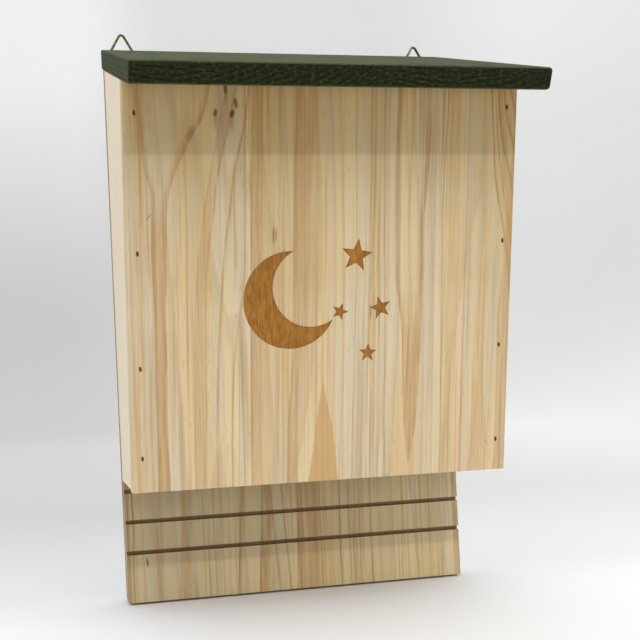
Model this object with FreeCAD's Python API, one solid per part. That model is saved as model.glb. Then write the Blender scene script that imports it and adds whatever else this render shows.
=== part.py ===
import FreeCAD, Part
import math
import os

# Bat box for a wall: a ladder board with saw-cut grooves, two tapered sides, a leaning front,
# a sloping roof, a floor that leaves an entry slot, and two triangle rings to hang it by.
# Millimetres. +X to the right, -Y to the viewer, +Z up.
# The origin lies on the wall side of the ladder board, in the middle of the box's width.

# Ladder board, the back of the box and its landing board in one
board_drop = 200.0
back_inset_left = 1.0
back_inset_right = 5.0
back_thick = 20.0
landing_height = 93.0
groove_first = 38.6
groove_pitch = 23.8
groove_count = 13
groove_width = 3.2
groove_depth = 3.0

# Box in front of the ladder board
box_width = 280.0
side_thick = 15.0
side_lift = 2.0
front_thick = 12.0
front_rise = 273.4
depth_at_bottom = 67.0
depth_at_top = 110.0
edge_round = 0.5

# Floor board and the entry slot behind it
floor_thick = 12.0
entry_slot = 20.0

# Roof
roof_thick = 14.5
roof_pitch = 21.8
roof_overhang = 34.0
roof_right_overhang = 6.0
roof_round = 1.2
roof_end_round = 2.4
roof_corner_round = 4.0

# Panel pins with flat heads, driven a little below the wood
pin_thick = 1.2
pin_head_long = 2.8
pin_head_deep = 1.0
pin_sink = 0.6
pin_length = 30.0
pin_clearance = 0.05
pin_heights_left = (24.0, 86.0, 163.0, 253.5)
pin_heights_right = (23.0, 93.0, 167.5, 259.5)
back_pin_heights = (25.0, 130.0, 235.0)
roof_pin_from_front = 40.0
roof_pin_from_board = 15.0
floor_pin_setbacks = (13.0, 24.0)

# Triangle rings and their folded straps
ring_side = 31.0
ring_wire = 2.0
ring_corner = 2.2
ring_from_edge = {"left": 16.7, "right": 15.5}
ring_heights = {"left": 329.0, "right": 324.4}
strap_width = 11.0
strap_length = 24.0
strap_thick = 0.8
strap_neck = 6.0
strap_clearance = 0.05
screw_drop = 17.0
screw_shank = 3.0
screw_length = 15.0
screw_head = 5.6
screw_head_high = 1.7
screw_clearance = 0.02

# Etched night sky on the front: a crescent and four stars, cut this deep
etch_depth = 0.5
crescent_radius = 34.0
crescent_bite_radius = 28.0
crescent_bite_shift = (15.0, 9.0)
crescent_place = (-26.0, 131.0)
star_waist = 0.42
star_points = 5
stars = ((22.0, 161.0, 12.0, 8.0), (40.0, 124.0, 8.5, -14.0), (10.0, 122.0, 6.5, 20.0), (31.0, 92.0, 7.0, 3.0))

# Worked out from the sizes above
lean = math.atan2(depth_at_top - depth_at_bottom, front_rise)
slope = math.radians(roof_pitch)
bottom_z = -board_drop
box_z = bottom_z + landing_height
eaves_z = box_z + front_rise
board_face_y = -back_thick
front_low_y = board_face_y - depth_at_bottom
front_high_y = board_face_y - depth_at_top
half_box = box_width / 2
back_left = -half_box + back_inset_left
back_right = half_box - back_inset_right
front_cover = front_thick / math.cos(lean)
side_middle = half_box - side_thick / 2


def vector(x, y, z):
    return FreeCAD.Vector(x, y, z)


def roof_line(y):
    """Height of the roof's underside at a distance y from the wall."""
    return eaves_z + (y - front_high_y) * math.tan(slope)


def front_line(z, inwards=0.0):
    """Place of the front's outer face at a height, or of a face behind it."""
    return front_low_y - (z - box_z) * math.tan(lean) + inwards


def front_meets_roof(inwards):
    """Height at which a face behind the front's outer face meets the roof's underside."""
    rise = (front_line(eaves_z, inwards) - front_high_y) * math.tan(slope)
    return eaves_z + rise / (1 + math.tan(lean) * math.tan(slope))


def board(profile, left, right):
    """A board with the given (y, z) profile, from one x to another."""
    corners = [vector(left, y, z) for y, z in profile]
    face = Part.Face(Part.makePolygon(corners + corners[:1]))
    return face.extrude(vector(right - left, 0, 0))


def eased(shape, radius, chosen):
    """The shape with the edges rounded whose middle is chosen."""
    edges = [e for e in shape.Edges if chosen(e.CenterOfMass)]
    return shape.makeFillet(radius, edges)


def placed(shape, at, into, along):
    """A shape whose +Z is turned to into and whose +Y is turned to along, moved to a point."""
    across = along.cross(into)
    turned = shape.copy()
    turned.Placement = FreeCAD.Placement(at, FreeCAD.Rotation(across, along, into, "ZXY"))
    return turned


def centred_box(width, long, low, high):
    corner = vector(-width / 2, -long / 2, low)
    return Part.makeBox(width, long, high - low, corner)


def panel_pin(reach):
    """A pin driven along +Z through a face at z = 0, with its head below the face."""
    head = centred_box(pin_thick, pin_head_long, pin_sink, pin_sink + pin_head_deep)
    shank = centred_box(pin_thick, pin_thick, pin_sink + pin_head_deep, reach)
    return head.fuse(shank).removeSplitter()


def pin_hole(reach):
    """The hole that the pin leaves, open at the face."""
    extra = 2 * pin_clearance
    head = centred_box(pin_thick + extra, pin_head_long + extra, -1.0, pin_sink + pin_head_deep + pin_clearance)
    shank = centred_box(pin_thick + extra, pin_thick + extra, pin_sink, reach + pin_clearance)
    return head.fuse(shank)


class PinRow:
    """Pins of one joint between two boards, and the holes that they need."""

    def __init__(self, places, into, along, reach):
        self.pins = [placed(panel_pin(reach), at, into, along) for at in places]
        self.holes = [placed(pin_hole(reach), at, into, along) for at in places]

    def group(self):
        return Part.makeCompound(self.pins)


def front_pins(side, heights):
    into = vector(0, math.cos(lean), math.sin(lean))
    along = vector(0, -math.sin(lean), math.cos(lean))
    places = []
    for height in heights:
        z = box_z + height
        places.append(vector(side * side_middle, front_line(z), z))
    return PinRow(places, into, along, pin_length)


def back_pins(side):
    places = [vector(side * side_middle, 0, box_z + height) for height in back_pin_heights]
    return PinRow(places, vector(0, -1, 0), vector(0, 0, 1), back_thick + pin_length / 2)


def roof_pins(side):
    into = vector(0, math.sin(slope), -math.cos(slope))
    along = vector(0, math.cos(slope), math.sin(slope))
    top = roof_thick / math.cos(slope)
    places = []
    for y in (front_high_y + roof_pin_from_front, board_face_y - roof_pin_from_board):
        places.append(vector(side * side_middle, y, roof_line(y) + top))
    return PinRow(places, into, along, pin_length)


def floor_pins(side):
    middle = box_z + side_lift + floor_thick / 2
    front = front_line(middle, front_cover)
    places = [vector(side * half_box, front + setback, middle) for setback in floor_pin_setbacks]
    return PinRow(places, vector(-side, 0, 0), vector(0, 0, 1), pin_length)


def ladder_board():
    """One board down the wall, grooved across its face so that feet can grip it."""
    top_back = roof_line(0)
    top_front = roof_line(board_face_y)
    outline = [(0, bottom_z), (0, top_back), (board_face_y, top_front), (board_face_y, bottom_z)]
    shape = board(outline, back_left, back_right)
    shape = eased(shape, edge_round, lambda c: c.z < top_front - edge_round)
    for step in range(groove_count):
        z = bottom_z + groove_first + step * groove_pitch
        corner = vector(back_left - 1, board_face_y - 1, z - groove_width / 2)
        shape = shape.cut(Part.makeBox(back_right - back_left + 2, groove_depth + 1, groove_width, corner))
    return shape


def side_board(left):
    low = box_z + side_lift
    high = front_meets_roof(front_cover)
    outline = [
        (board_face_y, low),
        (board_face_y, roof_line(board_face_y)),
        (front_line(high, front_cover), high),
        (front_line(low, front_cover), low),
    ]
    return board(outline, left, left + side_thick)


def front_board():
    high = front_meets_roof(front_cover)
    outline = [
        (front_low_y, box_z),
        (front_high_y, eaves_z),
        (front_line(high, front_cover), high),
        (front_line(box_z, front_cover), box_z),
    ]
    shape = board(outline, -half_box, half_box)
    return eased(shape, edge_round, lambda c: c.y < front_line(c.z, edge_round) and c.z < eaves_z - edge_round)


def floor_board():
    low = box_z + side_lift
    high = low + floor_thick
    back = board_face_y - entry_slot
    outline = [
        (back, low),
        (back, high),
        (front_line(high, front_cover), high),
        (front_line(low, front_cover), low),
    ]
    inner = half_box - side_thick
    return board(outline, -inner, inner)


def roof_board():
    """The roof lies on the sides, the front and the ladder board, and stops flush with the wall."""
    eaves_y = front_high_y - roof_overhang * math.cos(slope)
    eaves_bottom = eaves_z - roof_overhang * math.sin(slope)
    outline = [
        (eaves_y, eaves_bottom),
        (0, roof_line(0)),
        (0, roof_line(0) + roof_thick / math.cos(slope)),
        (eaves_y - roof_thick * math.sin(slope), eaves_bottom + roof_thick * math.cos(slope)),
    ]
    right_end = half_box + roof_right_overhang
    shape = board(outline, -half_box, right_end)
    front_y = eaves_y - roof_thick * math.sin(slope) / 2
    corner = vector(right_end, front_y, eaves_bottom + roof_thick * math.cos(slope) / 2)
    shape = eased(shape, roof_corner_round, lambda c: (c - corner).Length < roof_round)
    shape = eased(shape, roof_end_round, lambda c: c.x > right_end - roof_corner_round and c.y < -roof_round)
    return eased(shape, roof_round, lambda c: c.x < right_end - roof_corner_round and c.y < -roof_round)


def ring_path_corners():
    """Corners of the ring's centre line: base bar on the pivot, apex up."""
    half = ring_side / 2
    return [(-half, 0.0), (half, 0.0), (0.0, half * math.sqrt(3))]


def triangle_ring():
    """Round wire along a triangle with rounded corners, in the XZ plane, pivot at the origin."""
    corners = ring_path_corners()
    setback = ring_corner * math.sqrt(3)
    edges = []
    for index, corner in enumerate(corners):
        before = corners[index - 1]
        after = corners[(index + 1) % len(corners)]
        to_before = vector(before[0] - corner[0], 0, before[1] - corner[1]).normalize()
        to_after = vector(after[0] - corner[0], 0, after[1] - corner[1]).normalize()
        point = vector(corner[0], 0, corner[1])
        start = point + to_before * setback
        end = point + to_after * setback
        inward = (to_before + to_after).normalize()
        middle = point + inward * ring_corner
        edges.append(Part.Arc(start, middle, end).toShape())
        following = vector(after[0], 0, after[1]) - to_after * setback
        edges.append(Part.LineSegment(end, following).toShape())
    path = Part.Wire(edges)
    first = path.Edges[0]
    section = Part.Circle(first.valueAt(first.FirstParameter), first.tangentAt(first.FirstParameter), ring_wire / 2)
    return path.makePipeShell([Part.Wire(section.toShape())], True, False)


def folded_strap():
    """A strip folded over the ring's bar, both ends flat against the board, pivot at the origin."""
    inner = ring_wire / 2 + strap_clearance
    outer = inner + strap_thick
    left = -strap_width / 2
    right = strap_width / 2
    wall = -outer
    flat = wall + strap_thick
    doubled = flat + strap_thick
    outline = [
        (wall, 0), (wall, -strap_length), (doubled, -strap_length), (doubled, -strap_neck),
        (outer, 0), (inner, 0), (flat, -strap_neck), (flat, 0),
    ]
    legs = board(outline, left, right)
    fold = Part.makeCylinder(outer, strap_width, vector(left, 0, 0), vector(1, 0, 0))
    fold = fold.cut(Part.makeBox(strap_width, 2 * outer, outer, vector(left, -outer, -outer)))
    shape = legs.fuse(fold)
    eye = Part.makeCylinder(inner, strap_width, vector(left, 0, 0), vector(1, 0, 0))
    return shape.cut(eye).removeSplitter()


def strap_screw():
    """A round-headed screw through both ends of the strap, its head's seat at y = 0."""
    head_radius = screw_head / 2
    dome = (head_radius ** 2 + screw_head_high ** 2) / (2 * screw_head_high)
    head = Part.makeSphere(dome, vector(0, screw_head_high - dome, 0))
    keep = Part.makeCylinder(head_radius + 1, screw_head_high, vector(0, 0, 0), vector(0, 1, 0))
    head = head.common(keep)
    shank = Part.makeCylinder(screw_shank / 2, screw_length, vector(0, -screw_length, 0), vector(0, 1, 0))
    slot = Part.makeBox(screw_head, screw_head_high, 0.9, vector(-screw_head / 2, screw_head_high * 0.45, -0.45))
    return head.fuse(shank).cut(slot).removeSplitter()


def screw_hole():
    radius = screw_shank / 2 + screw_clearance
    reach = screw_length + screw_clearance
    return Part.makeCylinder(radius, reach + 1, vector(0, -reach, 0), vector(0, 1, 0))


def on_front(x, height):
    """Point of the front's outer face, at a height above the box's lower edge along the board."""
    return vector(x, front_low_y - height * math.sin(lean), box_z + height * math.cos(lean))


def cut_into_front(outline):
    """A flat cutter that follows the leaning face, from just outside it to the etching's depth."""
    outwards = vector(0, -math.cos(lean), -math.sin(lean))
    face = Part.Face(outline)
    face.translate(outwards)
    return face.extrude(outwards * -(1.0 + etch_depth))


def crescent():
    outwards = vector(0, -math.cos(lean), -math.sin(lean))
    x, height = crescent_place
    across, up = crescent_bite_shift
    moon = Part.Wire(Part.Circle(on_front(x, height), outwards, crescent_radius).toShape())
    bite = Part.Wire(Part.Circle(on_front(x + across, height + up), outwards, crescent_bite_radius).toShape())
    return cut_into_front(moon).cut(cut_into_front(bite))


def star(x, height, radius, turn):
    points = []
    for index in range(2 * star_points):
        reach = radius if index % 2 == 0 else radius * star_waist
        angle = math.radians(turn) + math.pi * index / star_points
        points.append(on_front(x + reach * math.sin(angle), height + reach * math.cos(angle)))
    return cut_into_front(Part.makePolygon(points + points[:1]))


def save(name, shape):
    if not shape.isValid():
        raise ValueError(name + " is not a valid solid")
    shape.exportStep("parts/" + name + ".step")
    print(name, "solids", len(shape.Solids), "volume", round(shape.Volume, 1))


def build():
    os.makedirs("parts", exist_ok=True)
    parts = {
        "back_board": ladder_board(),
        "left_side": side_board(-half_box),
        "right_side": side_board(half_box - side_thick),
        "front_panel": front_board(),
        "floor_board": floor_board(),
        "roof": roof_board(),
    }
    for shape in [crescent()] + [star(*each) for each in stars]:
        parts["front_panel"] = parts["front_panel"].cut(shape)

    pin_heights = {"left": pin_heights_left, "right": pin_heights_right}
    for name, side in (("left", -1), ("right", 1)):
        rows = {
            "front_pins_" + name: (front_pins(side, pin_heights[name]), "front_panel"),
            "back_pins_" + name: (back_pins(side), "back_board"),
            "roof_pins_" + name: (roof_pins(side), "roof"),
            "floor_pins_" + name: (floor_pins(side), "floor_board"),
        }
        for row_name, (row, outer_board) in rows.items():
            parts[row_name] = row.group()
            for holed in (outer_board, name + "_side"):
                parts[holed] = parts[holed].cut(Part.makeCompound(row.holes))

        pivot = ring_pivot(name, side)
        head_seat = 2 * strap_thick
        screw_at = vector(pivot.x, head_seat, pivot.z - screw_drop)
        hole = screw_hole()
        hole.translate(screw_at)
        strap = folded_strap()
        strap.translate(pivot)
        ring = triangle_ring()
        ring.translate(pivot)
        screw = strap_screw()
        screw.translate(screw_at)
        parts[name + "_ring"] = ring
        parts[name + "_strap"] = strap.cut(hole)
        parts[name + "_strap_screw"] = screw
        parts["back_board"] = parts["back_board"].cut(hole)
        print(name, "ring pivot", [round(value, 3) for value in pivot])

    for name, shape in parts.items():
        save(name, shape)


def ring_pivot(name, side):
    """Middle of a ring's bar: behind the ladder board by the strap's fold."""
    reach = ring_wire / 2 + strap_clearance + strap_thick
    return vector(side * (half_box - ring_from_edge[name]), reach, box_z + ring_heights[name])


build()
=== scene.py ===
# %% [markdown]
# # A wooden bat box
#
# This lesson dresses the CAD model of a bat box for a photograph: a wide softwood front that leans back to
# its foot, two tapered sides, a long ladder board that runs on below as a landing, a roof stained dark green
# and two brass rings to hang it by. The construction is fixed, so what is left to make is the light, the
# camera and the finish of every surface. The finishes are procedural: no picture is read from disk.

# %% Load the frame
import math

import bmesh
import bpy
from mathutils import Matrix, Vector


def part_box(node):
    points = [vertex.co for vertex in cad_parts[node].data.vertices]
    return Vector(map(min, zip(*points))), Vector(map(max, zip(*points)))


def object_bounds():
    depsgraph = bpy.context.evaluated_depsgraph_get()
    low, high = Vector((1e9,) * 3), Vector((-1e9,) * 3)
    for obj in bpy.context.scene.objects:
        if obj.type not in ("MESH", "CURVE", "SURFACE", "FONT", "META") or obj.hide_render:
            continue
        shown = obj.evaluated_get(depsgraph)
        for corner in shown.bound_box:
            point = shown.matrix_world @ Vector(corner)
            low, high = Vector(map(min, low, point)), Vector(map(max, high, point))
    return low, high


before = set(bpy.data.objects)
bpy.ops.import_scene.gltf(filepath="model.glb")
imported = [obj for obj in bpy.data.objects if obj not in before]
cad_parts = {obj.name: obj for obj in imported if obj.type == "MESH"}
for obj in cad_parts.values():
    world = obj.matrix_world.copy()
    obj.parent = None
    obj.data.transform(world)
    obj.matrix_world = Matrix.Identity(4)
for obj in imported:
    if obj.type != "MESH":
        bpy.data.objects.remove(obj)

millimetre = 0.001
cad_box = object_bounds()
print("the box spans", [round(c / millimetre) for c in cad_box[1] - cad_box[0]], "mm")

# %% [markdown]
# ## The camera
#
# The photographer stood a little left of the box, with the lens at about the height of the front's lower
# third. The box sits right of the optical axis, so the picture is a part of a larger frame, and a lens shift
# gives that crop without bending the upright edges. The camera's own axes are worked out from a heading, a
# tilt and a roll, because these three can be read and changed one by one.

# %% Camera
camera_place = Vector((-0.20797, -0.70694, -0.02616))
camera_heading = math.radians(10.391)  # to the right of straight at the wall
camera_tilt = math.radians(0.236)  # upwards
camera_roll = math.radians(-2.576)  # its right side hangs lower
lens_length, sensor_width = 50.35, 36  # mm
lens_shift = (0.2, 0.0797)  # to the right and up, in picture widths

ahead = Vector((
    math.sin(camera_heading) * math.cos(camera_tilt),
    math.cos(camera_heading) * math.cos(camera_tilt),
    math.sin(camera_tilt),
))
level = Vector((math.cos(camera_heading), -math.sin(camera_heading), 0))
right = level * math.cos(camera_roll) + level.cross(ahead) * math.sin(camera_roll)
axes = Matrix((right, right.cross(ahead), -ahead)).transposed()

camera = bpy.data.objects.new("camera", bpy.data.cameras.new("camera"))
camera.matrix_world = Matrix.Translation(camera_place) @ axes.to_4x4()
camera.data.sensor_width = sensor_width
camera.data.lens = lens_length
camera.data.shift_x, camera.data.shift_y = lens_shift
bpy.context.scene.collection.objects.link(camera)
bpy.context.scene.camera = camera
print("camera turned", [round(math.degrees(a), 1) for a in camera.matrix_world.to_euler()])

# %% [markdown]
# ## Recipes for materials
#
# A procedural material is a net of small nodes, and wiring them one at a time makes long scripts. A recipe is
# a thin wrapper: each of its calls adds one node, feeds it, and gives back what it makes, so a finish reads
# like arithmetic. Patterns are measured in millimetres on the board itself: across it, down into it from its
# outer face, and along its grain.

# %% Recipe helper
mix_share, mix_first, mix_second, mix_result = 0, 6, 7, 2  # the Mix node's sockets when it mixes colours


class Recipe:
    """A material's nodes, added one call at a time."""

    def __init__(self, name, roughness, metallic=0.0):
        self.material = bpy.data.materials.new(name)
        self.material.use_nodes = True
        self.nodes = self.material.node_tree.nodes
        self.wires = self.material.node_tree.links
        self.surface = self.nodes["Principled BSDF"]
        self.surface.inputs["Roughness"].default_value = roughness
        self.surface.inputs["Metallic"].default_value = metallic

    def feed(self, socket, value):
        if isinstance(value, bpy.types.NodeSocket):
            self.wires.new(value, socket)
        else:
            socket.default_value = value

    def add(self, kind, settings, feeds, out=0):
        node = self.nodes.new("ShaderNode" + kind)
        for name, value in settings.items():
            setattr(node, name, value)
        for socket, value in feeds.items():
            self.feed(node.inputs[socket], value)
        return node.outputs[out]

    def math(self, operation, *values):
        return self.add("Math", {"operation": operation}, dict(enumerate(values)))

    def plus(self, first, second):
        return self.math("ADD", first, second)

    def minus(self, first, second):
        return self.math("SUBTRACT", first, second)

    def times(self, first, second):
        return self.math("MULTIPLY", first, second)

    def vector(self, operation, *values):
        return self.add("VectorMath", {"operation": operation}, dict(enumerate(values)))

    def step(self, value, start, end):
        """0 before start and 1 after end, turning softly between them."""
        feeds = {"Value": value, "From Min": start, "From Max": end}
        return self.add("MapRange", {"interpolation_type": "SMOOTHSTEP"}, feeds)

    def spread(self, value, low, high, at_low, at_high):
        """A straight line between two values, and level beyond them."""
        feeds = {"Value": value, "From Min": low, "From Max": high, "To Min": at_low, "To Max": at_high}
        return self.add("MapRange", {}, feeds)

    def blend(self, share, first, second, mode="MIX"):
        feeds = {mix_share: share, mix_first: first, mix_second: second}
        return self.add("Mix", {"data_type": "RGBA", "blend_type": mode}, feeds, out=mix_result)

    def glaze(self, share, colour, glass):
        """A colour seen through a coloured glass, as far as share says."""
        return self.blend(share, colour, glass, mode="MULTIPLY")

    def noise(self, place, stretch, detail=2.0, roughness=0.5):
        """Soft noise about 0.5, with as many bumps to the millimetre as stretch says for each direction."""
        feeds = {"Vector": self.vector("MULTIPLY", place, stretch), "Scale": 1.0,
                 "Detail": detail, "Roughness": roughness}
        return self.add("TexNoise", {}, feeds)

    def curve(self, value, points):
        """What value becomes, by a curve drawn through a few points."""
        output = self.add("FloatCurve", {}, {"Value": value})
        mapping = output.node.mapping
        drawn = mapping.curves[0].points
        while len(drawn) < len(points):
            drawn.new(0.5, 0.5)
        for knot, place in zip(drawn, points):
            knot.location = place
            knot.handle_type = "AUTO_CLAMPED"
        mapping.update()
        return output

    def looks_along(self, direction):
        """1 on faces that look along a direction or against it, and 0 on faces square to those."""
        facing = self.add("NewGeometry", {}, {}, out="Normal")
        same = self.add("VectorMath", {"operation": "DOT_PRODUCT"}, {0: facing, 1: direction}, out="Value")
        return self.math("ABSOLUTE", same)


def paint(red, green, blue):
    """A colour as a paint chart gives it, from 0 to 255, turned into light by the sRGB curve."""
    shares = [c / 255 for c in (red, green, blue)]
    light = [share / 12.92 if share < 0.04045 else ((share + 0.055) / 1.055) ** 2.4 for share in shares]
    return (*light, 1.0)


# %% [markdown]
# ## Where each board's pattern starts
#
# Wood grain belongs to the board, not to the world: on the leaning front it has to lean too. So each board
# gets its own set of axes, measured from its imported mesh. The outward direction is the mean of the faces
# that look roughly that way, weighted by their area, and the start lies on the outer face at the grain's
# lower end.

# %% Board axes
roughly_the_same_way = 0.9  # the least cosine between two such directions


def board_axes(node, outward, along):
    """A board's starting corner and turn: x across it, y down into it, z along its grain."""
    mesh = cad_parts[node].data
    outer_faces = [face for face in mesh.polygons if face.normal.dot(outward) > roughly_the_same_way]
    outward = sum((face.normal * face.area for face in outer_faces), Vector()).normalized()
    along = (along - along.dot(outward) * outward).normalized()
    across = along.cross(outward)
    surface = max(corner.co.dot(outward) for corner in mesh.vertices)
    foot = min(corner.co.dot(along) for corner in mesh.vertices)
    low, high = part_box(node)
    start = outward * surface + along * foot + across * across.dot((low + high) / 2)
    turn = Matrix((across, -outward, along)).transposed().to_euler()
    print(node, "pattern starts at", [round(c / millimetre, 1) for c in start], "mm")
    return start, turn


def board_place(recipe, node, outward, along):
    """Millimetres on the board, and the same split into across, depth and height."""
    start, turn = board_axes(node, Vector(outward), Vector(along))
    on_object = recipe.add("TexCoord", {}, {}, out="Object")
    feeds = {"Vector": on_object, "Location": start, "Rotation": turn, "Scale": (millimetre,) * 3}
    place = recipe.add("Mapping", {"vector_type": "TEXTURE"}, feeds)
    parts = recipe.add("SeparateXYZ", {}, {0: place}).node.outputs
    return place, parts[0], parts[1], parts[2]


# %% [markdown]
# ## Pine
#
# All the boards but the roof are bare pine. Its growth rings show as long stripes, pale early wood with a
# darker line of late wood at the end of each year. A wood texture made of rings round one centre would give
# every board the same look, so here the rings are the height lines of a noise that is stretched along the
# grain: they run nearly straight, wander, and close into flames here and there, as a sawmill's boards do.
# The boards are glued up from narrower staves, and each stave takes its pattern from another part of the
# tree.

# %% Pine
pine_pale = paint(226, 207, 172)
pine_honey = paint(219, 193, 149)
pine_cool = paint(216, 200, 162)
pine_late = paint(186, 150, 102)
pine_tick = paint(150, 110, 66)
pine_sawn = paint(176, 132, 82)
cool_cast = (0.90, 0.935, 1.0, 1.0)
warm_cast = (1.0, 0.965, 0.885, 1.0)
pine_year = [(0, 0.05), (0.45, 0.12), (0.8, 0.8), (0.88, 1), (1, 0.05)]  # how dark, through one year
stave_shift = (400.0, 400.0, 900.0)  # how far apart two staves may lie in the tree, in mm


def staves(recipe, place, across, seams, seed):
    """Shifts the pattern to another part of the tree at every glue line."""
    stave = float(seed)
    for seam in seams:
        stave = recipe.plus(stave, recipe.math("GREATER_THAN", across, float(seam)))
    draw = recipe.add("TexWhiteNoise", {"noise_dimensions": "1D"}, {"W": stave}, out="Color")
    return recipe.vector("ADD", place, recipe.vector("MULTIPLY", draw, stave_shift))


def pine(recipe, place, across, seams, seed, ring_strength=0.3):
    """The colour of bare pine, how high its grain stands, and its streaks, which break up drawn stripes."""
    place = staves(recipe, place, across, seams, seed)
    wander = recipe.noise(place, (0.013, 0.013, 0.0009))
    years = recipe.plus(recipe.times(across, 0.06), recipe.times(wander, 15.0))
    late = recipe.curve(recipe.math("FRACT", years), pine_year)
    streaks = recipe.noise(place, (0.42, 0.42, 0.006), roughness=0.6)
    cool = recipe.noise(place, (0.16, 0.16, 0.003))
    cast = recipe.noise(place, (0.14, 0.14, 0.004), detail=3.0, roughness=0.6)
    fibres = recipe.noise(place, (0.7, 0.7, 0.03), roughness=0.6)
    ticks = recipe.noise(place, (1.0, 1.0, 0.11))
    crowd = recipe.noise(place, (0.1, 0.1, 0.012), detail=1.0)
    drift = recipe.noise(place, (0.02, 0.02, 0.0025), detail=1.0)
    lively = recipe.step(recipe.noise(place, (0.045, 0.045, 0.003)), 0.4, 0.62)

    colour = recipe.blend(recipe.step(drift, 0.42, 0.75), pine_pale, pine_honey)
    colour = recipe.blend(recipe.times(recipe.step(cool, 0.45, 0.62), 0.35), colour, pine_cool)
    colour = recipe.blend(recipe.times(late, ring_strength), colour, pine_late)
    strength = recipe.plus(0.22, recipe.times(lively, 0.5))
    colour = recipe.blend(recipe.times(recipe.step(streaks, 0.48, 0.72), strength), colour, pine_late)
    marks = recipe.times(recipe.step(ticks, 0.58, 0.76), recipe.step(crowd, 0.3, 0.65))
    colour = recipe.blend(recipe.times(marks, 0.35), colour, pine_tick)
    colour = recipe.glaze(1.0, colour, recipe.blend(recipe.step(cast, 0.36, 0.64), cool_cast, warm_cast))
    shade = recipe.spread(fibres, 0.3, 0.7, 1.065, 0.99)
    colour = recipe.add("VectorMath", {"operation": "SCALE"}, {0: colour, "Scale": shade})
    return colour, recipe.plus(late, fibres), recipe.plus(streaks, fibres)


# %% [markdown]
# A board's surface needs three things more. Its grain stands up by about a tenth of a millimetre, which a
# bump gives, and the hard late wood is a little glossier than the rest. A sawn end drinks in more light, so
# it is darker and browner. And a finish reaches a CAD piece through its material slots, because the piece
# itself stays as it was packed.

# %% Surface, ends and slots
grain_height = 0.0001  # m


def finish_wood(recipe, colour, height, dullest=0.7, glossiest=0.5, gloss=0.3):
    """Feeds the colour, and gives the surface a fine relief and an uneven dullness."""
    recipe.feed(recipe.surface.inputs["Base Color"], colour)
    recipe.feed(recipe.surface.inputs["Roughness"], recipe.spread(height, 0.2, 1.4, dullest, glossiest))
    relief = recipe.add("Bump", {}, {"Strength": 0.35, "Distance": grain_height, "Height": height})
    recipe.feed(recipe.surface.inputs["Normal"], relief)
    recipe.surface.inputs["Specular IOR Level"].default_value = gloss
    return recipe.material


def end_grain(recipe, colour, along):
    """Saw-cut ends drink in more light, so they are darker and browner than the faces."""
    cut = recipe.times(recipe.step(recipe.looks_along(along), 0.75, 0.95), 0.45)
    return recipe.blend(cut, colour, pine_sawn)


def dress(material, *nodes):
    """Gives CAD nodes a finish through their material slots."""
    for node in nodes:
        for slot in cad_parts[node].material_slots:
            slot.material = material
    print(material.name, "on", ", ".join(nodes))


# %% [markdown]
# ## Drawing figure
#
# The front is what everybody looks at, so its figure isn't left to chance: it is drawn. A drawn stripe is
# the band between two lines, and each line tells how far across it is at each height. Where the two lines
# cross, the band ends, so a fork, a wedge and a flame are bands too. Late wood ends sharply on one side, so
# a stripe with a sharp left edge is darkest along it. Knots, blots and the stains at the pins are ovals.

# %% Stripes and spots
drawn_width, drawn_height = 320.0, 480.0  # the area that the drawn lines may cover, in mm
usual_softness = 0.8  # of a stripe's edge, in mm


def drawn_line(recipe, height, points):
    """How far across a line is at each height, through a few (height, across) points."""
    scaled = [(h / drawn_height, x / drawn_width + 0.5) for h, x in points]
    share = recipe.curve(recipe.math("DIVIDE", height, drawn_height), scaled)
    return recipe.times(recipe.minus(share, 0.5), drawn_width)


def band(recipe, across, height, left, right, soft_left=usual_softness, soft_right=usual_softness):
    """1 between two drawn lines and 0 outside, and how far inside each line a place is, in mm."""
    from_left = recipe.minus(across, drawn_line(recipe, height, left))
    to_right = recipe.minus(drawn_line(recipe, height, right), across)
    inside = recipe.times(recipe.step(from_left, -soft_left, soft_left),
                          recipe.step(to_right, -soft_right, soft_right))
    return inside, from_left, to_right


def stripes(recipe, colour, across, height, rows, tone, broken):
    """Lays stripes over a colour. A row holds a stripe's left line, its width at the foot and at the top,
    the softness of its two edges, and its strength. Broken thins it out here and there."""
    for left, wide_foot, wide_top, soft_left, soft_right, strength in rows:
        top = left[-1][0]
        right = [(h, x + wide_foot + (wide_top - wide_foot) * h / top) for h, x in left]
        mask, from_left, _ = band(recipe, across, height, left, right, soft_left, soft_right)
        if soft_left < usual_softness:
            crisp = recipe.times(recipe.step(from_left, 1.5, 0.5), 0.7)
            mask = recipe.times(mask, recipe.plus(1.0, crisp))
        mask = recipe.times(mask, recipe.times(broken, strength))
        colour = recipe.blend(mask, colour, tone)
    return colour


def spots(recipe, colour, across, height, rows, tone):
    """Small oval marks: place across, height, half width, half height, lean and strength."""
    for x, h, half_wide, half_high, lean, strength in rows:
        up = recipe.minus(height, float(h))
        over = recipe.minus(recipe.minus(across, float(x)), recipe.times(up, lean))
        far = recipe.plus(recipe.math("POWER", recipe.math("DIVIDE", over, half_wide), 2.0),
                          recipe.math("POWER", recipe.math("DIVIDE", up, half_high), 2.0))
        mask = recipe.times(recipe.step(far, 2.3, 0.0), strength)
        colour = recipe.blend(mask, colour, tone)
    return colour


def drawn_board(recipe, place, across, seams, seed, ring_strength=0.3):
    """Pine for a board with drawn figure. Noise bends the lines by up to 2 mm, because lines that are drawn
    too cleanly look printed, and the pine's own streaks break them up."""
    bend = recipe.noise(place, (0.05, 0.05, 0.011), detail=4.0, roughness=0.6)
    across = recipe.plus(across, recipe.times(recipe.minus(bend, 0.5), 4.0))
    colour, relief, streaks = pine(recipe, place, across, seams, seed, ring_strength)
    return across, colour, relief, recipe.spread(streaks, 0.75, 1.25, 0.45, 1.4)


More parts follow.
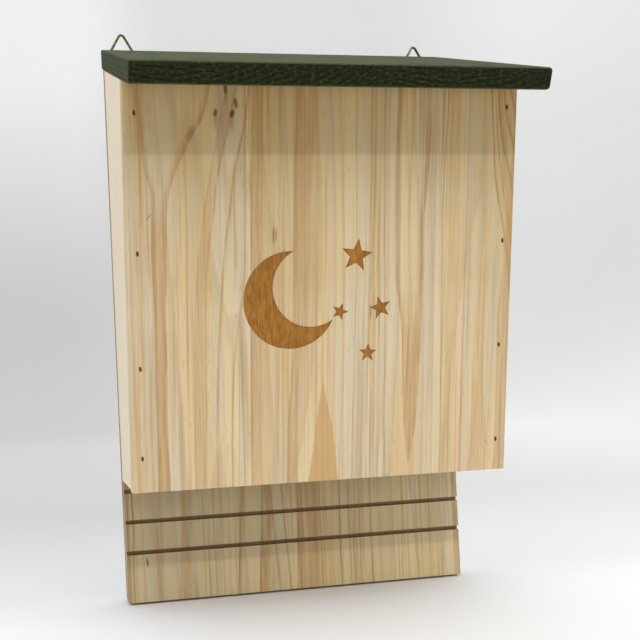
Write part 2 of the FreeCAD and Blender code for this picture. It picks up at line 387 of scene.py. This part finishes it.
# %% [markdown]
# ## The front's figure
#
# Most of the figure is late wood: broad stripes, thin lines, a few lines that lean over to the right as they
# rise, and a fan of slanted ones in the upper right corner. Each is a row, with its left line first, as
# heights above the foot and places across from the middle, in mm. A thin grey line is the glue between two
# staves.

# %% Stripes of the front
late_tone = paint(190, 152, 102)
grey_tone = paint(172, 152, 116)
resin_tone = paint(108, 66, 22)
blot_tone = paint(154, 114, 70)

broad_stripes = [
    ([(0, -136.0), (276, -137.5)], 12.0, 8.0, 2.0, 1.5, 0.30),
    ([(0, -123.0), (140, -123.5), (165, -128.5), (200, -129.5), (276, -134.0)], 1.0, 7.0, 1.0, 1.5, 0.40),
    ([(0, -54.9), (78, -54.4), (186, -54.5), (233, -53.7), (276, -52.8)], 9.0, 9.0, 0.5, 5.0, 0.55),
    ([(0, -28.9), (46, -27.8), (76, -25.7), (106, -24.7), (186, -24.2), (233, -23.2), (276, -22.2)],
     6.5, 14.5, 0.5, 2.0, 0.55),
    ([(0, 90.0), (276, 90.5)], 6.0, 7.0, 2.0, 3.0, 0.30),
    ([(0, 111.4), (49, 112.3), (276, 115.0)], 10.0, 2.0, 1.0, 2.0, 0.34),
    ([(0, 130.4), (60, 131.0), (180, 134.0), (276, 142.0)], 12.0, 8.0, 1.2, 2.0, 0.50),
    ([(0, 141.0), (120, 139.0), (180, 133.0), (276, 126.0)], 4.0, 16.0, 2.0, 2.0, 0.38),
]
thin_lines = [
    ([(0, -59.8), (276, -59.2)], 1.0, 0.8, 0.5, 1.0, 0.30),
    ([(0, -35.9), (276, -34.4)], 1.2, 1.2, 0.5, 1.0, 0.40),
    ([(0, 12.6), (276, 11.6)], 1.0, 1.0, 0.6, 1.2, 0.28),
    ([(0, 19.4), (195, 21.4), (276, 20.2)], 1.3, 1.3, 0.6, 1.0, 0.42),
    ([(0, 30.6), (276, 30.8)], 1.0, 1.0, 0.6, 1.0, 0.30),
    ([(0, 87.6), (50, 87.4), (194, 85.7), (276, 88.0)], 1.2, 1.2, 0.5, 1.0, 0.55),
    ([(0, 103.0), (276, 103.4)], 1.2, 1.2, 0.6, 1.2, 0.38),
]
leaning_lines = [
    ([(0, -94.8), (40, -95.8), (108, -95.1), (147, -93.0), (181, -88.7), (198, -86.3), (225, -80.8),
      (276, -70.0)], 7.4, 6.4, 0.5, 1.0, 0.34),
    ([(0, -88.4), (89, -87.7), (146, -86.5), (172, -83.9), (191, -80.8), (213, -78.1), (226, -75.3),
      (250, -69.5), (276, -63.5)], 1.3, 1.5, 0.6, 1.2, 0.50),
    ([(0, -80.1), (49, -79.7), (108, -77.9), (146, -75.2), (172, -72.7), (201, -68.1), (220, -65.4),
      (247, -59.4), (276, -55.5)], 1.7, 1.7, 0.6, 1.4, 0.55),
    ([(0, -68.9), (38, -69.2), (82, -68.0), (96, -67.0), (112, -64.5), (140, -60.8), (190, -58.8),
      (276, -58.4)], 1.3, 1.0, 0.6, 1.2, 0.42),
]
corner_fan = [
    ([(120, 140.5), (154, 136.3), (169, 134.1), (189, 129.5), (204, 126.3), (240, 122.5), (276, 120.0)],
     2.2, 1.2, 0.6, 1.4, 0.85),
    ([(160, 141.0), (180, 136.5), (204, 131.6), (240, 126.0), (276, 122.6)], 1.0, 0.8, 0.5, 1.0, 0.70),
    ([(190, 142.0), (204, 138.6), (223, 133.6), (238, 129.9), (252, 127.3), (276, 124.9)],
     2.0, 2.2, 0.6, 1.4, 0.95),
    ([(225, 141.5), (238, 137.4), (257, 132.3), (276, 129.4)], 1.8, 1.8, 0.6, 1.4, 0.90),
    ([(236, 142.0), (251, 139.6), (262, 137.5), (276, 134.0)], 2.0, 2.0, 0.6, 1.4, 0.90),
]
front_stripes = broad_stripes + thin_lines + leaning_lines + corner_fan
front_glue_line = [([(0, 44.4), (63, 43.9), (185, 42.0), (276, 41.7)], 0.9, 0.9, 0.4, 0.6, 0.48)]
print(len(front_stripes), "stripes on the front")

# %% [markdown]
# Three shapes stand out from the stripes. On the left a long stripe forks like a Y, with a cluster of pin
# knots beside its right arm. A flame stands at the foot in the middle, and a slim wedge tapers down on the
# right. Each is the band between two lines of its own, because their lines part and cross as no row of
# stripes can.

# %% Fork, wedge, flame and knots
flame_tone = paint(202, 156, 94)

fork_left = [(0, -122.2), (51, -121.7), (140, -122.1), (173, -123.0), (201, -123.0), (222, -127.2),
             (246, -129.4), (276, -133.6)]
fork_right = [(0, -113.3), (51, -113.9), (133, -112.9), (150, -112.3), (178, -112.2), (201, -110.5),
              (218, -105.2), (235, -98.3), (253, -87.6), (276, -81.0)]
wedge_left = [(0, 66.0), (9, 63.2), (36, 60.2), (62, 58.1), (93, 57.0), (118, 54.8), (143, 51.0),
              (195, 49.7), (242, 50.4), (276, 51.9)]
wedge_right = [(0, 60.0), (9, 63.2), (41, 68.9), (82, 70.7), (123, 71.9), (175, 71.7), (214, 74.5),
               (243, 76.4), (276, 75.6)]
flame_left = [(0, -12.8), (45, -7.0), (66, -3.6), (73, -2.5), (85, 3.0), (276, 3.0)]
flame_right = [(0, 9.3), (45, 4.0), (66, -1.0), (73, -2.5), (85, -8.0), (276, -8.0)]

front_knots = [
    (-70.6, 272.5, 1.2, 3.0, -0.1, 0.90),
    (-77.9, 257.2, 1.4, 2.4, 0.1, 0.85),
    (-66.5, 256.6, 1.5, 2.5, 0.2, 0.95),
    (-64.0, 263.4, 1.2, 3.2, -0.1, 0.80),
    (-124.3, 189.5, 0.5, 1.6, 0.9, 0.55),
    (124.4, 21.7, 0.6, 1.2, -0.8, 0.50),
]
front_blots = [
    (-70.5, 266.5, 1.1, 4.0, -0.05, 0.40),
    (-77.6, 252.0, 1.2, 4.0, -0.05, 0.35),
    (-66.8, 251.0, 1.3, 4.0, 0.1, 0.35),
    (-95.6, 243.3, 2.2, 4.4, 0.25, 0.55),
    (-99.5, 232.0, 1.0, 6.0, 0.4, 0.30),
    (-72.0, 258.0, 9.0, 14.0, 0.0, 0.22),
    (-38.3, 175.7, 0.7, 5.4, 0.0, 0.75),
    (-36.5, 176.2, 0.6, 4.0, 0.0, 0.55),
    (32.6, 120.9, 0.8, 5.0, 0.0, 0.60),
    (34.6, 130.0, 0.6, 4.0, 0.0, 0.45),
]
pin_heights = {-132.5: (24.3, 87.1, 165.0, 256.6), 132.5: (23.3, 94.1, 169.6, 262.7)}
pin_stains = [(x, h, 0.95, 1.6, -0.1, 0.9) for x, heights in pin_heights.items() for h in heights]
print(len(front_knots), "knots,", len(front_blots), "blots and", len(pin_stains), "pin stains")


def front_figure(recipe, colour, across, height, broken):
    """The drawn stripes, and over them the fork, the wedge and the flame."""
    colour = stripes(recipe, colour, across, height, front_stripes, late_tone, broken)
    colour = stripes(recipe, colour, across, height, front_glue_line, grey_tone, broken)

    inside, from_left, to_right = band(recipe, across, height, fork_left, fork_right, 0.6, 0.6)
    edges = recipe.math("MAXIMUM", recipe.step(from_left, 5.0, 0.5), recipe.step(to_right, 6.0, 0.5))
    stem = recipe.times(recipe.step(height, 210.0, 170.0), 0.42)
    fork = recipe.times(inside, recipe.plus(stem, recipe.times(edges, 0.75)))
    colour = recipe.blend(recipe.times(fork, broken), colour, late_tone)

    inside, from_left, to_right = band(recipe, across, height, wedge_left, wedge_right)
    edges = recipe.math("MAXIMUM", recipe.step(from_left, 5.5, 0.5), recipe.step(to_right, 5.0, 0.5))
    wedge = recipe.times(inside, recipe.math("MAXIMUM", edges, recipe.step(height, 150.0, 95.0)))
    colour = recipe.blend(recipe.times(wedge, recipe.times(broken, 0.85)), colour, late_tone)

    flame = band(recipe, across, height, flame_left, flame_right)[0]
    return recipe.blend(recipe.times(flame, 0.7), colour, flame_tone)


# %% [markdown]
# ## The front
#
# Over the figure come the knots and the stains at the pins. Three glazes of painted light and shade follow:
# the board is painted a little darker and warmer from its middle up, darker still near the roof as painted
# shade of the roof, and more like honey there as painted warm light bounced into that shade. The etched
# picture lies
# half a millimetre down in the face. A laser chars what it cuts, so the colour can be told by depth alone:
# whatever is deeper than the face turns brown, and the burnt rim follows the outline exactly, with no second
# drawing of the picture.

# %% Front panel
# painted shade and light: a little darker and warmer from the middle up, painted shade under the roof, and
# painted warm bounce light near the top
painted_middle_shade = (0.955, 0.94, 0.89, 1.0)
painted_roof_shade = (0.80, 0.785, 0.70, 1.0)
painted_warm_bounce = (1.03, 0.925, 0.78, 1.0)
char_dark, char_light = paint(148, 96, 26), paint(196, 143, 56)
front_seams = [-55, -26, 43, 88]
foot_slant = 1.9  # mm; the leaning foot's back edge is the lowest, and heights count from its front edge


def front_finish():
    recipe = Recipe("front_pine", roughness=0.6)
    place, straight, depth, height = board_place(recipe, "front_panel", (0, -1, -0.15), (0, 0, 1))
    height = recipe.minus(height, foot_slant)
    across, colour, relief, broken = drawn_board(recipe, place, straight, front_seams, seed=11)
    colour = front_figure(recipe, colour, across, height, broken)
    colour = spots(recipe, colour, across, height, front_blots, blot_tone)
    colour = spots(recipe, colour, across, height, front_knots, resin_tone)
    colour = spots(recipe, colour, straight, height, pin_stains, resin_tone)

    # painted shade from the middle up and under the roof, and painted warm bounce light in that shade near
    # the top
    middle = recipe.times(recipe.step(height, 118.0, 150.0), recipe.step(height, 208.0, 180.0))
    colour = recipe.glaze(middle, colour, painted_middle_shade)
    colour = recipe.glaze(recipe.step(height, 168.0, 232.0), colour, painted_roof_shade)
    colour = recipe.glaze(recipe.step(height, 200.0, 276.0), colour, painted_warm_bounce)

    burnt = recipe.times(recipe.step(depth, 0.12, 0.38), recipe.step(depth, 1.2, 0.8))
    mottle = recipe.noise(place, (1.1, 1.1, 0.12), detail=4.0, roughness=0.7)
    char = recipe.blend(recipe.step(mottle, 0.3, 0.7), char_dark, char_light)
    colour = recipe.blend(burnt, colour, recipe.glaze(0.5, char, colour))
    colour = end_grain(recipe, colour, (0, -0.16, 0.99))
    return finish_wood(recipe, colour, relief)


dress(front_finish(), "front_panel")

# %% [markdown]
# ## The ladder board
#
# The ladder board shows below the front as the landing, so its stripes are drawn too. It is more grey than
# the front, and painted shade makes it darker at the left and up under the front, while painted light makes
# it a little lighter at its foot. It is browner along its left edge. Its grooves are saw cuts, painted
# browner than its face and darker still as painted shade in the recess, and depth tells where they are.

# %% Ladder board
landing_line = paint(184, 138, 80)
# the saw cut's own brown, with painted shade of the recess in it
groove_brown_and_shade = paint(108, 78, 44)
landing_stripes = [
    ([(0, -134.8), (420, -134.2)], 1.2, 1.2, 0.5, 0.8, 0.60),
    ([(0, -117.6), (420, -116.0)], 7.0, 7.0, 1.5, 2.5, 0.34),
    ([(0, -99.8), (70, -96.0), (420, -90.0)], 8.0, 7.0, 1.0, 2.0, 0.46),
    ([(0, -52.6), (70, -48.6), (420, -42.0)], 2.6, 2.6, 0.6, 1.4, 0.45),
    ([(0, -36.0), (70, -31.4), (420, -24.0)], 8.4, 7.0, 0.7, 2.0, 0.62),
    ([(0, -19.0), (70, -23.8), (420, -30.0)], 1.6, 1.6, 0.6, 1.0, 0.45),
    ([(0, -10.4), (70, -14.5), (420, -22.0)], 1.4, 1.4, 0.6, 1.0, 0.45),
    ([(0, -5.0), (70, -1.8), (420, 6.0)], 19.0, 9.0, 0.7, 2.0, 0.52),
    ([(0, 32.8), (420, 34.0)], 1.6, 1.6, 0.6, 1.0, 0.45),
    ([(0, 40.6), (420, 41.0)], 1.2, 1.2, 0.5, 0.9, 0.42),
    ([(0, 43.0), (70, 45.6), (420, 52.0)], 9.2, 7.6, 0.5, 1.5, 0.40),
    ([(0, 58.4), (420, 61.0)], 1.2, 1.2, 0.5, 0.8, 0.42),
    ([(0, 84.0), (70, 86.0), (420, 96.0)], 1.2, 1.2, 0.6, 1.0, 0.36),
    ([(0, 98.0), (70, 94.0), (420, 80.0)], 1.4, 1.4, 0.6, 1.2, 0.36),
    ([(0, 118.0), (70, 122.0), (420, 130.0)], 3.0, 3.0, 1.0, 1.6, 0.34),
    ([(0, 130.0), (420, 131.0)], 6.0, 6.0, 1.5, 1.5, 0.34),
]
brown_edge = [([(0, -143.0), (420, -143.0)], 6.4, 6.4, 0.6, 1.2, 0.55)]
landing_knot = [(-123.4, 31.0, 0.8, 3.4, -0.1, 0.8)]
ladder_seams = [-97, -50, -3, 43, 88]
# the board's grey tone, with painted shade that makes its left end darker
painted_left_shade, right_glaze = (0.71, 0.72, 0.68, 1.0), (0.89, 0.9, 0.86, 1.0)
# painted shade up under the front, and painted light at the foot
painted_shade_under_front, painted_foot_light = (0.8, 0.8, 0.79, 1.0), (1.07, 1.07, 1.07, 1.0)
middle_offset = 2.0  # mm; the board's middle lies this far left of the box's


def ladder_finish():
    recipe = Recipe("ladder_pine", roughness=0.6)
    place, across, depth, height = board_place(recipe, "back_board", (0, -1, 0), (0, 0, 1))
    across = recipe.minus(across, middle_offset)
    across, colour, relief, broken = drawn_board(recipe, place, across, ladder_seams, 31, ring_strength=0.28)
    colour = stripes(recipe, colour, across, height, landing_stripes, landing_line, broken)
    colour = stripes(recipe, colour, across, height, brown_edge, blot_tone, broken)
    colour = spots(recipe, colour, across, height, landing_knot, resin_tone)

    # grey tone with painted shade at the left, then painted shade under the front and painted light at the
    # foot
    greyer_and_painted_shade = recipe.blend(recipe.step(across, -140.0, 120.0), painted_left_shade, right_glaze)
    colour = recipe.glaze(1.0, colour, greyer_and_painted_shade)
    colour = recipe.glaze(recipe.step(height, 55.0, 92.0), colour, painted_shade_under_front)
    colour = recipe.glaze(recipe.step(height, 42.0, 12.0), colour, painted_foot_light)
    # the grooves: saw-cut brown and painted shade in the recess
    sawn = recipe.times(recipe.step(depth, 0.1, 0.6), recipe.step(depth, 3.6, 3.2))
    colour = recipe.blend(recipe.times(sawn, 0.8), colour, groove_brown_and_shade)
    colour = end_grain(recipe, colour, (0, 0, 1))
    return finish_wood(recipe, colour, relief)


dress(ladder_finish(), "back_board")

# %% [markdown]
# ## Sides and floor
#
# These three take what the pine recipe gives them, each from its own part of the tree. The sides are paler
# than the front, so they are blended towards cream.

# %% Sides and floor
side_pale = paint(228, 219, 202)


def plain_finish(name, node, outward, along, seed, seams, bleach=0.0):
    recipe = Recipe(name, roughness=0.6)
    place, across, *_ = board_place(recipe, node, outward, along)
    colour, relief, _ = pine(recipe, place, across, seams, seed)
    colour = recipe.blend(bleach, colour, side_pale)
    colour = end_grain(recipe, colour, along)
    return finish_wood(recipe, colour, relief)


for name, outward, seed, seams in (("left_side", (-1, 0, 0), 51, [10]), ("right_side", (1, 0, 0), 71, [-8])):
    dress(plain_finish(name + "_pine", name, outward, (0, 0, 1), seed, seams, bleach=0.6), name)
dress(plain_finish("floor_pine", "floor_board", (0, 0, 1), (1, 0, 0), 91, []), "floor_board")

# %% [markdown]
# ## The stained roof
#
# The roof board is pine too, under a dark green wood stain. Stain is thin: it soaks in deeper at the soft
# early wood and at the sawn ends, and leaves the late wood's lines a little darker and glossier. So the
# pattern is the pine's, and only its colours change. Its front edge is end grain: the growth rings show there
# as arcs round the middle of each stave's tree, with small paler flecks over them.

# %% Stained roof
stain_light = paint(82, 90, 62)
stain_dark = paint(56, 64, 40)
stain_end = paint(39, 44, 24)
stain_ring = paint(19, 23, 12)
stain_fleck = paint(76, 83, 52)
# painted reflection: the right end of the front edge turns greyer, as if it mirrored a darker part of the
# room
painted_reflection_grey = paint(36, 40, 33)  # at the right end of the front edge
roof_year = [(0, 0.0), (0.45, 0.2), (0.8, 0.9), (0.93, 1), (1, 0.0)]
roof_outward, roof_along = (0, -0.37, 0.93), (0, 0.93, 0.37)

# each stave of the roof: where it starts across the board, and where its tree's middle lay, across and
# above, in mm
roof_staves = [(-150.0, -112.0, -120.0), (-48.0, -60.0, -90.0), (22.0, 70.0, -170.0)]


def tree_radius(recipe, across, depth):
    """How far a place is from the middle of the tree that its stave was cut from."""
    radius = 0.0
    for start, middle, above in roof_staves:
        over, down = recipe.minus(across, middle), recipe.minus(depth, above)
        far = recipe.math("SQRT", recipe.plus(recipe.times(over, over), recipe.times(down, down)))
        here = recipe.math("GREATER_THAN", across, start)
        radius = recipe.plus(recipe.times(radius, recipe.minus(1.0, here)), recipe.times(far, here))
    return radius


def roof_finish():
    recipe = Recipe("green_stain", roughness=0.5)
    place, across, depth, _ = board_place(recipe, "roof", roof_outward, roof_along)
    shifted = staves(recipe, place, across, [start for start, *_ in roof_staves[1:]], 5)
    wander = recipe.noise(shifted, (0.03, 0.03, 0.002))
    years = recipe.plus(recipe.times(tree_radius(recipe, across, depth), 0.3), recipe.times(wander, 3.0))
    late = recipe.curve(recipe.math("FRACT", years), roof_year)
    fibres = recipe.noise(shifted, (3.0, 3.0, 0.05))
    patches = recipe.noise(place, (0.03, 0.03, 0.02), detail=3.0)
    face = recipe.blend(recipe.times(late, 0.6), stain_light, stain_dark)
    face = recipe.blend(recipe.times(recipe.step(patches, 0.4, 0.7), 0.4), face, stain_dark)
    side_edge = recipe.step(recipe.looks_along((1, 0, 0)), 0.6, 0.9)
    face = recipe.blend(recipe.times(side_edge, 0.8), face, stain_dark)

    cells = recipe.noise(place, (0.34, 0.62, 0.4))
    end = recipe.blend(recipe.times(late, 0.75), stain_end, stain_ring)
    end = recipe.blend(recipe.times(recipe.step(cells, 0.46, 0.74), 0.44), end, stain_fleck)
    # painted reflection and shade at the right end of the front edge
    painted_reflection_right = recipe.times(recipe.step(across, 106.0, 136.0), 0.35)
    end = recipe.blend(painted_reflection_right, end, painted_reflection_grey)
    colour = recipe.blend(recipe.step(recipe.looks_along(roof_along), 0.6, 0.9), face, end)
    relief = recipe.plus(late, fibres)
    return finish_wood(recipe, colour, relief, dullest=0.8, glossiest=0.6, gloss=0.03)


dress(roof_finish(), "roof")

# %% [markdown]
# ## Metal
#
# The rings and their straps are brass-coloured wire and strip. Metal gets its look from what it mirrors, so
# its own colour is nearly even: handling leaves it duller here and there, and it darkens in small spots.
# The pins are thin brads whose sunk heads read as dark ovals.

# %% Brass and steel
metal_relief = 0.00005  # m


def metal_finish(name, bright, dull, smooth, rough, spots_per_mm):
    recipe = Recipe(name, roughness=smooth, metallic=1.0)
    on_object = recipe.add("TexCoord", {}, {}, out="Object")
    place = recipe.vector("MULTIPLY", on_object, (1 / millimetre,) * 3)
    cloud = recipe.noise(place, (spots_per_mm,) * 3, detail=3.0)
    fine = recipe.noise(place, (6.0, 6.0, 6.0))
    colour = recipe.blend(recipe.step(cloud, 0.42, 0.66), bright, dull)
    relief = recipe.add("Bump", {}, {"Strength": 0.15, "Distance": metal_relief, "Height": fine})
    recipe.feed(recipe.surface.inputs["Base Color"], colour)
    recipe.feed(recipe.surface.inputs["Roughness"], recipe.spread(cloud, 0.3, 0.7, smooth, rough))
    recipe.feed(recipe.surface.inputs["Normal"], relief)
    return recipe.material


brass = metal_finish("brass_wire", paint(134, 122, 76), paint(94, 86, 52), 0.25, 0.45, 0.35)
strip = metal_finish("brass_strip", paint(204, 178, 104), paint(158, 134, 74), 0.3, 0.5, 0.2)
steel = metal_finish("dark_steel", paint(104, 84, 50), paint(66, 50, 28), 0.4, 0.6, 0.5)

dress(brass, "left_ring", "right_ring")
dress(strip, "left_strap", "right_strap", "left_strap_screw", "right_strap_screw")
dress(steel, *[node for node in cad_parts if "pins" in node])

# %% [markdown]
# ## The studio
#
# A product like this is photographed in a white cove: a floor that sweeps up into the wall, so that no
# horizon shows. Made round, it serves every side of the box. It starts as a disc, and its rim is extruded
# and swept outwards and up in small steps.

# %% Cove
foot_gap = 0.0014  # m of air under the foot, which reads as its dark contact line
floor_height = cad_box[0].z - foot_gap
flat_radius, sweep_radius, sweep_steps, wall_height = 2.0, 1.2, 16, 1.2


def cove():
    shell = bmesh.new()
    bmesh.ops.create_circle(shell, cap_ends=True, segments=96, radius=flat_radius)
    rim = [edge for edge in shell.edges if edge.is_boundary]
    reach = flat_radius
    for step in range(1, sweep_steps + 2):
        angle = math.radians(90) * min(step, sweep_steps) / sweep_steps
        wide = flat_radius + sweep_radius * math.sin(angle)
        high = sweep_radius * (1 - math.cos(angle)) + (wall_height if step > sweep_steps else 0)
        made = bmesh.ops.extrude_edge_only(shell, edges=rim)["geom"]
        corners = [part for part in made if isinstance(part, bmesh.types.BMVert)]
        rim = [part for part in made if isinstance(part, bmesh.types.BMEdge)]
        bmesh.ops.scale(shell, vec=(wide / reach, wide / reach, 1), verts=corners)
        bmesh.ops.translate(shell, vec=(0, 0, high - corners[0].co.z), verts=corners)
        reach = wide
    bmesh.ops.translate(shell, vec=(0, 0, floor_height), verts=shell.verts)
    bmesh.ops.recalc_face_normals(shell, faces=shell.faces)
    bmesh.ops.reverse_faces(shell, faces=shell.faces)
    mesh = bpy.data.meshes.new("cove")
    shell.to_mesh(mesh)
    shell.free()
    mesh.polygons.foreach_set("use_smooth", [True] * len(mesh.polygons))
    return bpy.data.objects.new("cove", mesh)


stage = cove()
bpy.context.scene.collection.objects.link(stage)
print("cove of", len(stage.data.polygons), "faces")

# %% [markdown]
# The paper isn't one even white: its colour carries painted light and shade. It is greyest low down at the
# left, as painted shade, lighter towards the right and higher up, and lightest in front of the box, as
# painted light. A lamp for each of these changes would be hard to steer, so the paper itself is graded, by
# how far right, away and up a place is, in metres. Behind the camera it is dark, so that it throws little
# light back at the front.

# %% Paper
paper = Recipe("cove_paper", roughness=0.9)
on_paper = paper.add("TexCoord", {}, {}, out="Object")
rightward, away, upward = paper.add("SeparateXYZ", {}, {0: on_paper}).node.outputs


def graded(start, end, left, right):
    """A painted light and shade on the paper that changes from left to right, between two places."""
    return paper.blend(paper.step(rightward, start, end), paint(*left), paint(*right))


# painted shade low down and far off at the left, painted light up high and in front of the box
painted_shade_low_wall = graded(-0.2, 1.2, (200, 200, 199), (221, 222, 222))
painted_shade_far_floor = graded(-0.2, 1.2, (205, 205, 204), (234, 235, 234))
painted_light_high_wall = graded(0.0, 0.5, (250, 250, 250), (230, 231, 231))
painted_light_high_wall = paper.blend(paper.step(rightward, 1.3, 1.9), painted_light_high_wall, paint(246, 247, 246))
painted_light_near_floor = graded(-0.25, 0.15, (229, 231, 234), (238, 240, 243))
painted_light_front_floor = graded(-0.25, 0.1, (246, 248, 252), (251, 253, 255))
behind_camera = paint(112, 112, 111)

# the paper's tones are painted shade (low, left, far) and painted light (high, near and in front of the box)
tone = paper.blend(paper.step(away, 2.3, 1.5), painted_shade_low_wall, painted_shade_far_floor)
tone = paper.blend(paper.step(upward, 0.1, 1.4), tone, painted_light_high_wall)
tone = paper.blend(paper.step(away, 0.5, -0.05), tone, painted_light_near_floor)
tone = paper.blend(paper.step(away, 0.03, -0.1), tone, painted_light_front_floor)
tone = paper.blend(paper.step(away, -0.5, -1.3), tone, behind_camera)
paper.feed(paper.surface.inputs["Base Color"], tone)
paper.surface.inputs["Specular IOR Level"].default_value = 0.1
stage.data.materials.append(paper.material)
print(paper.material.name, "on", stage.name)

# %% [markdown]
# ## Light
#
# The roof throws one clean shadow edge across the front, a good 40 mm down, and the front throws another on
# the landing. Both ask for one small key light, some 42 degrees up and almost straight in front. It is weak
# beside the rest: the shadow is only a fifth darker, so most of the light is the white room itself, a broad
# window on the left that brightens the box's side, a fill on the right and a low reflector. The backdrop lamp
# lights the wall behind. A photographer would hold a flag between the key and the paper, so that the box
# throws no hard shadow there, and light linking does that here. It also keeps the sweep lamp to the paper.

# %% Lamps
def lamp(name, kind, watts, place, target, **settings):
    """A lamp that looks from its place at its target, in metres, and that the camera doesn't see."""
    light = bpy.data.lights.new(name, kind)
    light.energy = watts
    for setting, value in settings.items():
        setattr(light, setting, value)
    holder = bpy.data.objects.new(name, light)
    place, target = Vector(place), Vector(target)
    turn = (target - place).to_track_quat("-Z", "Y")
    holder.matrix_world = Matrix.Translation(place) @ turn.to_matrix().to_4x4()
    holder.visible_camera = False
    bpy.context.scene.collection.objects.link(holder)
    return holder


def panel(name, watts, place, target, wide, high):
    """A lamp with a broad flat face, in metres."""
    return lamp(name, "AREA", watts, place, target, shape="RECTANGLE", size=wide, size_y=high)


key = lamp("key", "SPOT", 97.0, (0.1, -2.45, 2.2), (0, 0, 0), shadow_soft_size=0.05,
           spot_size=math.radians(40), spot_blend=0.6, color=(1.0, 0.97, 0.93))
panel("window", 8.0, (-1.5, -0.5, 0.25), (0, 0, 0), 1.2, 1.4)
panel("fill", 2.6, (1.6, -1.0, 0.2), (0, 0, 0), 1.4, 1.4)
panel("reflector", 1.6, (0.5, -1.0, -0.1), (0.1, 0, -0.15), 0.9, 0.3)
panel("backdrop", 12.0, (0.3, 1.2, 2.3), (0.3, 3.2, 1.3), 2.4, 0.5)
sweep = panel("sweep", 2.0, (0.4, -1.2, 0.6), (0.2, -0.15, floor_height), 0.8, 0.6)

flagged = bpy.data.collections.new("flagged")
flagged.objects.link(stage)
flagged.collection_objects[0].light_linking.link_state = "EXCLUDE"
key.light_linking.receiver_collection = flagged

paper_only = bpy.data.collections.new("paper_only")
paper_only.objects.link(stage)
sweep.light_linking.receiver_collection = paper_only
print("lamps:", ", ".join(f"{light.name} {light.energy:g} W" for light in bpy.data.lights))

# %% [markdown]
# The room is the world's own light. It grows from the horizon to the point overhead, as under a white
# ceiling. The view transform is the plain one, which bends no tones.

# %% Room
room_light = (0.225, 1.52)  # at the horizon, and overhead
room = bpy.data.worlds.new("room")
room.use_nodes = True
sky = room.node_tree.nodes.new("ShaderNodeTexCoord")
up = room.node_tree.nodes.new("ShaderNodeSeparateXYZ")
glow = room.node_tree.nodes.new("ShaderNodeMapRange")
glow.inputs["To Min"].default_value, glow.inputs["To Max"].default_value = room_light
back = room.node_tree.nodes["Background"]
back.inputs["Color"].default_value = (1.0, 1.0, 1.0, 1.0)
room.node_tree.links.new(sky.outputs["Generated"], up.inputs[0])
room.node_tree.links.new(up.outputs["Z"], glow.inputs["Value"])
room.node_tree.links.new(glow.outputs["Result"], back.inputs["Strength"])
bpy.context.scene.world = room
bpy.context.scene.view_settings.view_transform = "Standard"
